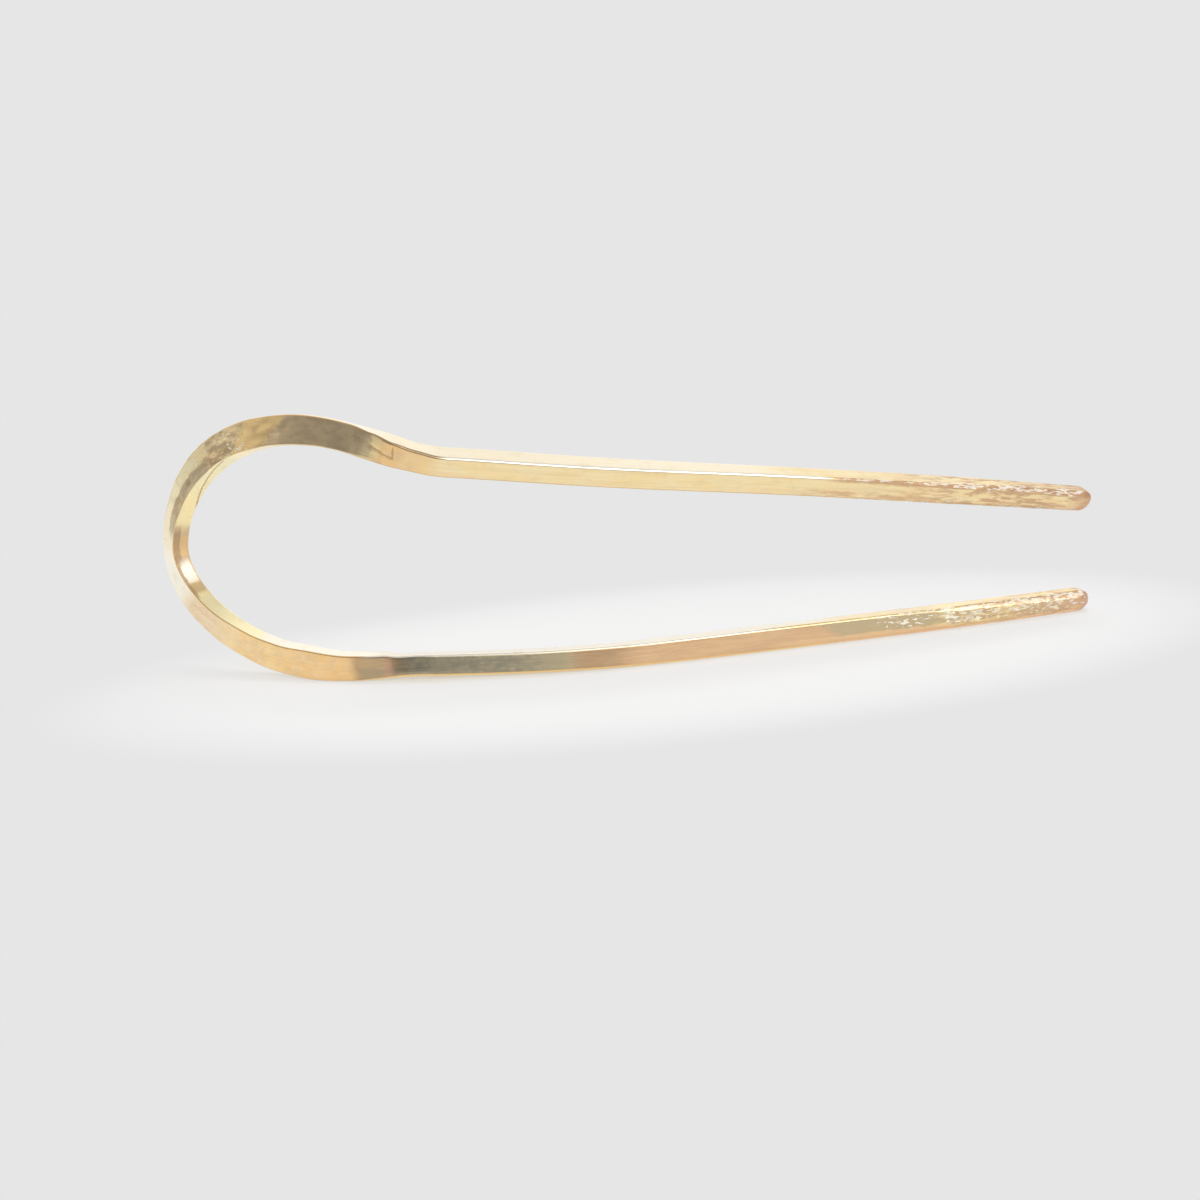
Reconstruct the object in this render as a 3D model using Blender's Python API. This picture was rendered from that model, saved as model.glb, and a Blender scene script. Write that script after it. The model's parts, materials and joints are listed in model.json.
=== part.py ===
"""A hairpin: one length of square brass wire, hammered and bent into a U-shaped hair fork.

The fork is laid out flat first, as it is on the bench, with `along` running from the shoulders
towards the tips and `across` from the lower prong to the upper one. The flat fork is then folded
back at its shoulders, and stood on the edge of its lower prong. Metres, +Z up, the tips towards +X,
the fork's front towards -Y.
"""

import bisect
import math
from typing import NamedTuple

import bmesh
import bpy
from mathutils import Matrix, Vector

MM = 0.001

# The wire
wire_size = 3.1 * MM
edge_radius = 0.38 * MM
corner_steps = 2

# The prongs, with their distances from the fork's own centre line
upper_prong_length = 101.0 * MM
lower_prong_length = 103.5 * MM
shoulder_half_spacing = 14.0 * MM
upper_tip_half_spacing = 7.1 * MM
lower_tip_half_spacing = 8.5 * MM
upper_prong_curl = 1.4
lower_prong_curl = 1.0

# The bow, an oval drawn out beyond the shoulders, with its end a little below the centre line
bow_length = 38.0 * MM
bow_end_drop = 1.8 * MM
upper_bow_half_width = 16.7 * MM
lower_bow_half_width = 15.5 * MM
upper_shoulder_length = 17.5 * MM
lower_shoulder_length = 14.0 * MM

# The bends out of the flat, seen from above: the shoulders, the bow's curl, the swept tips
shoulder_angle = math.radians(14.0)
shoulder_run = 38.5 * MM
bow_end_angle = math.radians(54.0)
bow_curl = 0.95
tip_sweep_angle = math.radians(3.0)
tip_sweep_curl = 3.0

# The filed tips
filed_length = 36.0 * MM
filed_radius = 0.95 * MM
nose_length = 1.7 * MM
nose_steps = 4

# How it stands on the table
lean_angle = math.radians(4.8)
foot_depth = 0.25 * MM

# The spring gap across each shoulder, and the spacing of the wire's cross sections
spring_gap = 0.3 * MM
bow_step = 1.25 * MM
prong_step = 2.6 * MM
route_step = 0.25 * MM

brass_colour = (0.72, 0.50, 0.24, 1.0)
brass_roughness = 0.32
sharp_angle = math.radians(35.0)


class Section(NamedTuple):
    """The wire's cross section at one place: shares of the wire's size, and its twist in degrees."""

    place_share: float
    width_share: float
    thickness_share: float
    twist: float


# Places run from 0 at the bow's end, through 1 at a shoulder, to 2 at a tip
bow_end_shares = Section(0.00, 1.12, 0.75, -26.5)
upper_section_shares = (
    bow_end_shares,
    Section(0.30, 1.27, 0.840, -18.5),
    Section(0.55, 1.29, 0.890, -12.0),
    Section(0.72, 1.24, 0.885, -11.0),
    Section(0.78, 1.19, 0.900, 0.0),
    Section(0.84, 1.13, 0.930, 10.5),
    Section(0.90, 1.03, 0.960, 11.0),
    Section(0.97, 1.00, 1.000, 16.0),
    Section(1.06, 1.00, 1.000, 16.0),
    Section(1.50, 1.00, 1.000, 11.5),
    Section(2.00, 1.05, 1.000, 12.0),
)
lower_section_shares = (
    bow_end_shares,
    Section(0.25, 1.18, 0.720, -15.5),
    Section(0.40, 1.16, 0.790, -3.0),
    Section(0.50, 1.19, 0.870, 0.0),
    Section(0.62, 1.22, 0.895, 12.5),
    Section(0.75, 1.08, 0.915, 17.5),
    Section(0.92, 0.95, 0.955, 9.5),
    Section(1.06, 0.99, 0.950, 9.5),
    Section(1.50, 1.10, 0.930, 9.5),
    Section(2.00, 1.10, 0.970, 3.0),
)


class ArmSizes(NamedTuple):
    """The sizes of one arm of the flat fork; side is 1 for the upper arm and -1 for the lower one."""

    side: float
    prong_length: float
    tip_half_spacing: float
    prong_curl: float
    shoulder_length: float
    bow_half_width: float
    sections: tuple[Section, ...]


upper_sizes = ArmSizes(
    side=1.0,
    prong_length=upper_prong_length,
    tip_half_spacing=upper_tip_half_spacing,
    prong_curl=upper_prong_curl,
    shoulder_length=upper_shoulder_length,
    bow_half_width=upper_bow_half_width,
    sections=upper_section_shares,
)
lower_sizes = ArmSizes(
    side=-1.0,
    prong_length=lower_prong_length,
    tip_half_spacing=lower_tip_half_spacing,
    prong_curl=lower_prong_curl,
    shoulder_length=lower_shoulder_length,
    bow_half_width=lower_bow_half_width,
    sections=lower_section_shares,
)


def eased(share: float) -> float:
    """Returns a share from 0 to 1 with a slow start and end."""
    clamped = min(max(share, 0.0), 1.0)
    return clamped * clamped * (3.0 - 2.0 * clamped)


def steps_between(start: float, end: float, step: float) -> list[float]:
    """Returns evenly spaced values from start up to, but not with, end."""
    count = max(2, math.ceil(abs(end - start) / step))
    return [start + (end - start) * index / count for index in range(count)]


def mean_point(points: list[Vector]) -> Vector:
    """Returns the middle of some points."""
    return sum(points, Vector()) / len(points)


def bow_route(sizes: ArmSizes) -> list[Vector]:
    """Returns one quarter of the bow's oval, from the bow's end to its widest place."""
    quarter_height = sizes.bow_half_width + sizes.side * bow_end_drop
    quarter_length = bow_length - sizes.shoulder_length
    route = []
    for angle in steps_between(0.0, math.pi / 2.0, route_step / quarter_length):
        along = -sizes.shoulder_length - quarter_length * math.cos(angle)
        across = sizes.side * quarter_height * math.sin(angle) - bow_end_drop
        route.append(Vector((along, across)))
    return route


def shoulder_route(sizes: ArmSizes) -> list[Vector]:
    """Returns the stretch that eases from the bow's widest place in to the shoulder."""
    flare = sizes.bow_half_width - shoulder_half_spacing
    route = []
    for along in steps_between(-sizes.shoulder_length, 0.0, route_step):
        across = shoulder_half_spacing + flare * eased(-along / sizes.shoulder_length)
        route.append(Vector((along, sizes.side * across)))
    return route


def prong_route(sizes: ArmSizes) -> list[Vector]:
    """Returns a prong, from its shoulder to its tip."""
    taper = shoulder_half_spacing - sizes.tip_half_spacing
    route = []
    for along in steps_between(0.0, sizes.prong_length, route_step) + [sizes.prong_length]:
        across = shoulder_half_spacing - taper * (along / sizes.prong_length) ** sizes.prong_curl
        route.append(Vector((along, sizes.side * across)))
    return route


def fold_angle(along: float) -> float:
    """Returns how far the flat fork is bent back at a distance along it, in radians."""
    if along < 0.0:
        return shoulder_angle + (bow_end_angle - shoulder_angle) * (-along / bow_length) ** bow_curl
    shoulder = shoulder_angle * (1.0 - eased(along / shoulder_run))
    return shoulder - tip_sweep_angle * (along / lower_prong_length) ** tip_sweep_curl


def front_at(along: float) -> Vector:
    """Returns the direction that the folded fork's front faces at a distance along it."""
    angle = fold_angle(along)
    return Vector((-math.sin(angle), -math.cos(angle), 0.0))


class Fold:
    """The side profile that the flat fork is folded to, worked out once from the bends."""

    def __init__(self) -> None:
        self.places = [0.0]
        self.points = [Vector((0.0, 0.0))]
        self._run(-1.0, bow_length + wire_size)
        self.places.reverse()
        self.points.reverse()
        self._run(1.0, max(upper_prong_length, lower_prong_length) + wire_size)

    def _run(self, direction: float, length: float) -> None:
        """Adds the profile from the shoulders out to one end."""
        along = 0.0
        point = Vector((0.0, 0.0))
        step = direction * route_step
        while abs(along) < length:
            angle = fold_angle(along + step / 2.0)
            point = point + step * Vector((math.cos(angle), -math.sin(angle)))
            along += step
            self.places.append(along)
            self.points.append(point)

    def place(self, flat: Vector) -> Vector:
        """Returns where a point of the flat fork lies once it is folded."""
        after = min(max(bisect.bisect_right(self.places, flat.x), 1), len(self.places) - 1)
        before = after - 1
        share = (flat.x - self.places[before]) / (self.places[after] - self.places[before])
        point = self.points[before].lerp(self.points[after], share)
        return Vector((point.x, point.y, flat.y))


class Arm:
    """One arm of the wire, from the bow's end to a tip, measured along its own length."""

    def __init__(self, sizes: ArmSizes) -> None:
        self.sizes = sizes
        before_shoulder = bow_route(sizes) + shoulder_route(sizes)
        self.route = before_shoulder + prong_route(sizes)
        self.distances = [0.0]
        for before, after in zip(self.route, self.route[1:]):
            self.distances.append(self.distances[-1] + (after - before).length)
        self.shoulder = self.distances[len(before_shoulder)]
        self.length = self.distances[-1]

    def flat_at(self, distance: float) -> tuple[Vector, Vector]:
        """Returns the flat point and heading at a distance from the bow's end."""
        after = min(max(bisect.bisect_right(self.distances, distance), 1), len(self.route) - 1)
        before = after - 1
        heading = self.route[after] - self.route[before]
        share = (distance - self.distances[before]) / heading.length
        return self.route[before] + heading * share, heading.normalized()

    def section_at(self, distance: float) -> Section:
        """Returns the cross section at a distance from the bow's end."""
        place = distance / self.shoulder
        if distance > self.shoulder:
            place = 1.0 + (distance - self.shoulder) / (self.length - self.shoulder)
        sections = self.sizes.sections
        for before, after in zip(sections, sections[1:]):
            if place <= after.place_share:
                break
        share = eased((place - before.place_share) / (after.place_share - before.place_share))
        return Section(*(low + (high - low) * share for low, high in zip(before, after)))


def standing() -> Matrix:
    """Returns the turn that lays the lower prong along the table and leans the fork."""
    pitch_angle = math.atan2(shoulder_half_spacing - lower_tip_half_spacing, lower_prong_length)
    return Matrix.Rotation(lean_angle, 3, "X") @ Matrix.Rotation(pitch_angle, 3, "Y")


def rounded_rectangle(width: float, thickness: float, radius: float) -> list[Vector]:
    """Returns a rectangle's outline with its corners as short arcs."""
    outline = []
    for quarter in range(4):
        start = quarter * math.pi / 2.0
        middle = start + math.pi / 4.0
        centre = Vector((
            math.copysign(width / 2.0 - radius, math.cos(middle)),
            math.copysign(thickness / 2.0 - radius, math.sin(middle)),
        ))
        for step in range(corner_steps + 1):
            angle = start + step / corner_steps * math.pi / 2.0
            outline.append(centre + radius * Vector((math.cos(angle), math.sin(angle))))
    return outline


def ring_at(arm: Arm, fold: Fold, distance: float, scale: float = 1.0) -> list[Vector]:
    """Returns the wire's cross section at a distance from the bow's end, as points in space."""
    flat, heading = arm.flat_at(distance)
    centre = fold.place(flat)
    front = front_at(flat.x)
    along = Vector((-front.y, front.x, 0.0))
    tangent = along * heading.x + Vector((0.0, 0.0, heading.y))
    inward = tangent.cross(front) * arm.sizes.side

    section = arm.section_at(distance)
    twist = math.radians(section.twist)
    face = front * math.cos(twist) + inward * math.sin(twist)
    side = inward * math.cos(twist) - front * math.sin(twist)

    filed = eased(1.0 - (arm.length - distance) / filed_length)
    size = wire_size * scale
    radius = (edge_radius + (filed_radius - edge_radius) * filed) * scale
    outline = rounded_rectangle(section.width_share * size, section.thickness_share * size, radius)
    turn = standing()
    return [turn @ (centre + side * point.x + face * point.y) for point in outline]


def prong_rings(arm: Arm, fold: Fold) -> list[list[Vector]]:
    """Returns a prong's cross sections, from its spring gap to its rounded nose."""
    start = arm.shoulder + spring_gap / 2.0
    nose_start = arm.length - nose_length
    rings = [ring_at(arm, fold, distance) for distance in steps_between(start, nose_start, prong_step)]
    for step in range(nose_steps + 1):
        angle = step / (nose_steps + 1) * math.pi / 2.0
        rings.append(ring_at(arm, fold, nose_start + nose_length * math.sin(angle), math.cos(angle)))
    return rings


def bow_rings(upper: Arm, lower: Arm, fold: Fold) -> list[list[Vector]]:
    """Returns the bow's cross sections, from the upper spring gap round to the lower one."""
    upper_end = upper.shoulder - spring_gap / 2.0
    lower_end = lower.shoulder - spring_gap / 2.0
    upper_half = [ring_at(upper, fold, distance) for distance in steps_between(upper_end, 0.0, bow_step)]
    lower_half = [ring_at(lower, fold, distance) for distance in steps_between(0.0, lower_end, bow_step)]
    return upper_half + lower_half + [ring_at(lower, fold, lower_end)]


def table_offset(pieces: dict[str, list[list[Vector]]]) -> Vector:
    """Returns the point under the fork's middle, at the height that its lower prong is filed flat to."""
    points = [point for rings in pieces.values() for ring in rings for point in ring]
    middle = [(min(point[axis] for point in points) + max(point[axis] for point in points)) / 2.0
              for axis in range(2)]
    lowest = min(point.z for ring in pieces["lower_prong"] for point in ring)
    return Vector((middle[0], middle[1], lowest + foot_depth))


def filed_flat(point: Vector) -> Vector:
    """Returns a point raised to the table's height where it would reach below it."""
    return Vector((point.x, point.y, max(point.z, 0.0)))


def wire_mesh(name: str, rings: list[list[Vector]], origin: Vector) -> bpy.types.Mesh:
    """Skins a run of cross sections as one closed mesh, measured from its own origin."""
    shape = bmesh.new()
    rows = [[shape.verts.new(point - origin) for point in ring] for ring in rings]
    for before, after in zip(rows, rows[1:]):
        for index in range(len(before)):
            following = (index + 1) % len(before)
            shape.faces.new((before[index], before[following], after[following], after[index]))
    shape.faces.new(rows[0])
    shape.faces.new(rows[-1])
    bmesh.ops.recalc_face_normals(shape, faces=shape.faces)
    mesh = bpy.data.meshes.new(name)
    shape.to_mesh(mesh)
    shape.free()
    mesh.shade_smooth()
    mesh.set_sharp_from_angle(angle=sharp_angle)
    return mesh


def brass(name: str) -> bpy.types.Material:
    """Returns a plain brass material."""
    material = bpy.data.materials.new(name)
    material.use_nodes = True
    surface = material.node_tree.nodes["Principled BSDF"]
    surface.inputs["Base Color"].default_value = brass_colour
    surface.inputs["Metallic"].default_value = 1.0
    surface.inputs["Roughness"].default_value = brass_roughness
    return material


def main() -> None:
    """Builds the hairpin."""
    for leftover in list(bpy.data.objects):
        bpy.data.objects.remove(leftover, do_unlink=True)

    fold = Fold()
    upper = Arm(upper_sizes)
    lower = Arm(lower_sizes)
    pieces = {
        "bow": bow_rings(upper, lower, fold),
        "upper_prong": prong_rings(upper, fold),
        "lower_prong": prong_rings(lower, fold),
    }
    table = table_offset(pieces)
    hinges = {
        "upper_prong": mean_point(ring_at(upper, fold, upper.shoulder)) - table,
        "lower_prong": mean_point(ring_at(lower, fold, lower.shoulder)) - table,
    }

    collection = bpy.data.collections.new("hairpin")
    bpy.context.scene.collection.children.link(collection)
    stand = bpy.data.objects.new("hairpin", None)
    collection.objects.link(stand)
    for name, rings in pieces.items():
        origin = hinges.get(name, Vector())
        standing_rings = [[filed_flat(point - table) for point in ring] for ring in rings]
        piece = bpy.data.objects.new(name, wire_mesh(name, standing_rings, origin))
        piece.location = origin
        piece.parent = stand
        piece.data.materials.append(brass(f"{name} brass"))
        collection.objects.link(piece)


main()
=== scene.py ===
"""The hairpin as it looks: square brass wire, hammered, bent and filed, standing on a pale table.

The wire is laid out flat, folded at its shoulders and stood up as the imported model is, but in fine
steps, and the marks of the tools are pressed into its surface. Metres, +Z up, the tips towards +X,
the fork's front towards -Y.
"""

import json
import logging
import math
from dataclasses import dataclass
from enum import Enum
from typing import Iterator

import bpy
import numpy as np
from mathutils import Matrix, Vector


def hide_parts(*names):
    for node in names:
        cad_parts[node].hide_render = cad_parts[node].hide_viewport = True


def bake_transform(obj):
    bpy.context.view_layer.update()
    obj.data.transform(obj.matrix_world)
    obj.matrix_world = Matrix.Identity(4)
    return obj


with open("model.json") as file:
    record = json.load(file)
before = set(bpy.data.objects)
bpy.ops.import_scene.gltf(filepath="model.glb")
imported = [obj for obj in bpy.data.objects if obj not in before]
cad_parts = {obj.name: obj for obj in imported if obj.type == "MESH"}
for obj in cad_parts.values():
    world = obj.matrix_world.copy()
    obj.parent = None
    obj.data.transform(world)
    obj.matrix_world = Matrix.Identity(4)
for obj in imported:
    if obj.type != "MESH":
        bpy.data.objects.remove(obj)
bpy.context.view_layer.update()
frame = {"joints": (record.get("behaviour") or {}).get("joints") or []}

log = logging.getLogger("hairpin")

MM = 0.001
PICTURE_PIXELS = 1200
SENSOR_WIDTH = 36.0
WORLD_UP = Vector((0.0, 0.0, 1.0))

PLACE_ATTRIBUTE = "wire_place"
FACING_ATTRIBUTE = "wire_facing"
MARKS_ATTRIBUTE = "tool_marks"

Span = tuple[float, float]
Colour = tuple[float, float, float, float]


def mm(*sizes: float) -> tuple[float, ...]:
    """Returns sizes in millimetres as metres."""
    return tuple(size * MM for size in sizes)


def grey(level: float) -> Colour:
    """Returns a grey as a colour."""
    return level, level, level, 1.0


def eased(share: np.ndarray) -> np.ndarray:
    """Returns shares from 0 to 1 with a slow start and end."""
    clamped = np.clip(share, 0.0, 1.0)
    return clamped * clamped * (3.0 - 2.0 * clamped)


class Side(Enum):
    """The two arms of the fork, by the sign of their distance from its centre line."""

    UPPER = 1.0
    LOWER = -1.0


class MarkKind(Enum):
    """What left a mark, by its channel in the mesh's attribute of marks."""

    HAMMER = 0
    FILE = 1
    GROOVE = 2


@dataclass(frozen=True)
class Section:
    """The wire's cross section at one place: shares of the wire's size, and its twist in degrees.

    Places run from 0 at the bow's end, through 1 at a shoulder, to 2 at a tip. The shift is how far
    the section sits towards the inner side, also as a share of the wire's size. The corner is a
    share of the wire's edge radius.
    """

    place: float
    width: float
    thickness: float
    twist: float
    shift: float = 0.0
    corner: float = 1.0

    def values(self) -> tuple[float, ...]:
        """Returns the section's numbers, apart from its place."""
        return self.width, self.thickness, self.twist, self.shift, self.corner


@dataclass(frozen=True)
class ForkSizes:
    """The sizes that both arms share."""

    wire_size: float = 3.1 * MM
    edge_radius: float = 0.38 * MM
    shoulder_half_spacing: float = 14.0 * MM
    bow_length: float = 38.0 * MM
    bow_end_drop: float = 1.8 * MM
    shoulder_angle: float = math.radians(14.0)
    shoulder_run: float = 38.5 * MM
    bow_end_angle: float = math.radians(54.0)
    bow_curl: float = 0.95
    tip_sweep_angle: float = math.radians(3.0)
    tip_sweep_curl: float = 3.0
    filed_length: float = 36.0 * MM
    filed_radius: float = 0.95 * MM
    nose_length: float = 2.6 * MM
    lean_angle: float = math.radians(4.8)
    longest_prong: float = 103.5 * MM
    lower_taper: float = 5.5 * MM
    route_step: float = 0.25 * MM

    def standing(self) -> np.ndarray:
        """Returns the turn that lays the lower prong along the table and leans the fork.

        Returns:
            The turn, as a matrix of three rows.
        """
        pitch_angle = math.atan2(self.lower_taper, self.longest_prong)
        turn = Matrix.Rotation(self.lean_angle, 3, "X") @ Matrix.Rotation(pitch_angle, 3, "Y")
        return np.array(turn)

    def fold_angle(self, along: np.ndarray) -> np.ndarray:
        """Returns how far the flat fork is bent back at distances along it.

        Args:
            along: Distances from the shoulders, towards the tips.

        Returns:
            The angles out of the flat, in radians.
        """
        curl = (np.clip(-along, 0.0, None) / self.bow_length) ** self.bow_curl
        bow = self.shoulder_angle + (self.bow_end_angle - self.shoulder_angle) * curl
        shoulder = self.shoulder_angle * (1.0 - eased(along / self.shoulder_run))
        sweep = (np.clip(along, 0.0, None) / self.longest_prong) ** self.tip_sweep_curl
        return np.where(along < 0.0, bow, shoulder - self.tip_sweep_angle * sweep)

    def folded(self, along: np.ndarray) -> tuple[np.ndarray, np.ndarray]:
        """Returns where distances along the flat fork lie once it is folded, seen from above.

        Args:
            along: Distances from the shoulders, towards the tips.

        Returns:
            Their X and their Y.
        """
        reach = self.longest_prong + self.wire_size
        back = self._run(-1.0, self.bow_length + self.wire_size)
        ahead = self._run(1.0, reach)
        places = np.concatenate((back[0][::-1], ahead[0][1:]))
        profile_x = np.concatenate((back[1][::-1], ahead[1][1:]))
        profile_y = np.concatenate((back[2][::-1], ahead[2][1:]))
        return np.interp(along, places, profile_x), np.interp(along, places, profile_y)

    def _run(self, direction: float, length: float) -> tuple[np.ndarray, np.ndarray, np.ndarray]:
        """Returns the profile's places and points from the shoulders out to one end.

        Args:
            direction: 1 towards the tips, or -1 towards the bow.
            length: How far the profile goes.

        Returns:
            The distances from the shoulders, with their X and their Y.
        """
        step = direction * self.route_step
        places = step * np.arange(math.ceil(length / self.route_step) + 1)
        angles = self.fold_angle(places[:-1] + step / 2.0)
        x = np.concatenate(([0.0], np.cumsum(step * np.cos(angles))))
        y = np.concatenate(([0.0], np.cumsum(-step * np.sin(angles))))
        return places, x, y


@dataclass(frozen=True)
class Outline:
    """The mesh points round the wire: how many go to each rounded corner and each flat."""

    corner_steps: int = 7
    flat_steps: int = 11

    def points(
        self, half_width: np.ndarray, half_thickness: np.ndarray, radius: np.ndarray
    ) -> tuple[np.ndarray, np.ndarray, np.ndarray]:
        """Returns rounded rectangles, one for each cross section.

        The points start after the middle of the front and go by the inner side, the back and the
        outer side.

        Args:
            half_width: Half of each section's width, from the outer to the inner side.
            half_thickness: Half of each section's thickness, from the back to the front.
            radius: Each section's corner radius.

        Returns:
            The points, the directions that they face, and their distances round the wire from the
            middle of the front, negative on the outer side.
        """
        flat_width = half_width - radius
        flat_thickness = half_thickness - radius
        centres = []
        facings = []
        for inward, front, start in ((1, 1, 90), (1, -1, 0), (-1, -1, -90), (-1, 1, -180)):
            corner = np.stack((inward * flat_width, front * flat_thickness), -1)
            for step in range(self.corner_steps + 1):
                angle = math.radians(start - 90.0 * step / self.corner_steps)
                centres.append(corner)
                facings.append((math.cos(angle), math.sin(angle)))
            next_corner = np.stack((front * flat_width, -inward * flat_thickness), -1)
            for step in range(1, self.flat_steps + 1):
                centres.append(corner + (next_corner - corner) * step / (self.flat_steps + 1))
                facings.append(facings[-1])
        facing = np.array(facings)[None, :, :] * np.ones((len(radius), 1, 1))
        points = np.stack(centres, 1) + facing * radius[:, None, None]
        gaps = np.linalg.norm(np.roll(points, -1, 1) - points, axis=2)
        around = flat_width[:, None] + np.cumsum(gaps, 1) - gaps
        length = gaps.sum(1)[:, None]
        around = np.where(around > length / 2.0, around - length, around)
        return points, facing, around


@dataclass(frozen=True)
class Dent:
    """A shallow oval hollow, placed by its distance along the arm and round the wire."""

    run: float
    around: float
    length: float
    width: float
    depth: float
    turn: float = 0.0
    kind: MarkKind = MarkKind.HAMMER

    def pressed(self, run: np.ndarray, around: np.ndarray) -> np.ndarray:
        """Returns how deep the dent goes at places on the wire.

        Args:
            run: Distances from the bow's end.
            around: Distances round the wire from the middle of the front.

        Returns:
            The depths.
        """
        along = run - self.run
        across = around - self.around
        cosine = math.cos(math.radians(self.turn))
        sine = math.sin(math.radians(self.turn))
        forward = (along * cosine + across * sine) * 2.0 / self.length
        sideways = (across * cosine - along * sine) * 2.0 / self.width
        return self.depth * np.clip(1.0 - forward * forward - sideways * sideways, 0.0, None)


@dataclass(frozen=True)
class Groove:
    """A line that a tool's edge left, through a few places along the arm and round the wire."""

    places: tuple[tuple[float, float], ...]
    width: float
    depth: float
    kind: MarkKind = MarkKind.GROOVE

    def pressed(self, run: np.ndarray, around: np.ndarray) -> np.ndarray:
        """Returns how deep the groove goes at places on the wire.

        Args:
            run: Distances from the bow's end.
            around: Distances round the wire from the middle of the front.

        Returns:
            The depths.
        """
        nearest = np.full(np.broadcast(run, around).shape, np.inf)
        for (start_run, start_around), (end_run, end_around) in zip(self.places, self.places[1:]):
            span_run = end_run - start_run
            span_around = end_around - start_around
            reach = (run - start_run) * span_run + (around - start_around) * span_around
            share = np.clip(reach / (span_run**2 + span_around**2), 0.0, 1.0)
            off_run = run - start_run - share * span_run
            off_around = around - start_around - share * span_around
            nearest = np.minimum(nearest, np.hypot(off_run, off_around))
        return self.depth * np.clip(1.0 - (2.0 * nearest / self.width) ** 2, 0.0, None)


@dataclass(frozen=True)
class Flat:
    """A flat that a hammer or a file left: what stood beyond its plane is pressed back.

    It faces an angle from the front towards the inner side, in degrees, and fades out at its ends.
    """

    start: float
    end: float
    fade: float
    facing: float
    depth: float

    def press(self, points: np.ndarray, run: np.ndarray) -> np.ndarray:
        """Returns the cross sections' points with the flat pressed into them.

        Args:
            points: The points of each cross section, as inward and forward.
            run: The cross sections' distances from the bow's end.

        Returns:
            The points, pressed back.
        """
        angle = math.radians(self.facing)
        normal = np.array((math.sin(angle), math.cos(angle)))
        shown = eased((run - self.start) / self.fade) * eased((self.end - run) / self.fade)
        reach = points @ normal
        beyond = reach - (reach.max(1) - self.depth * shown)[:, None]
        return points - np.clip(beyond, 0.0, None)[:, :, None] * normal


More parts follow.
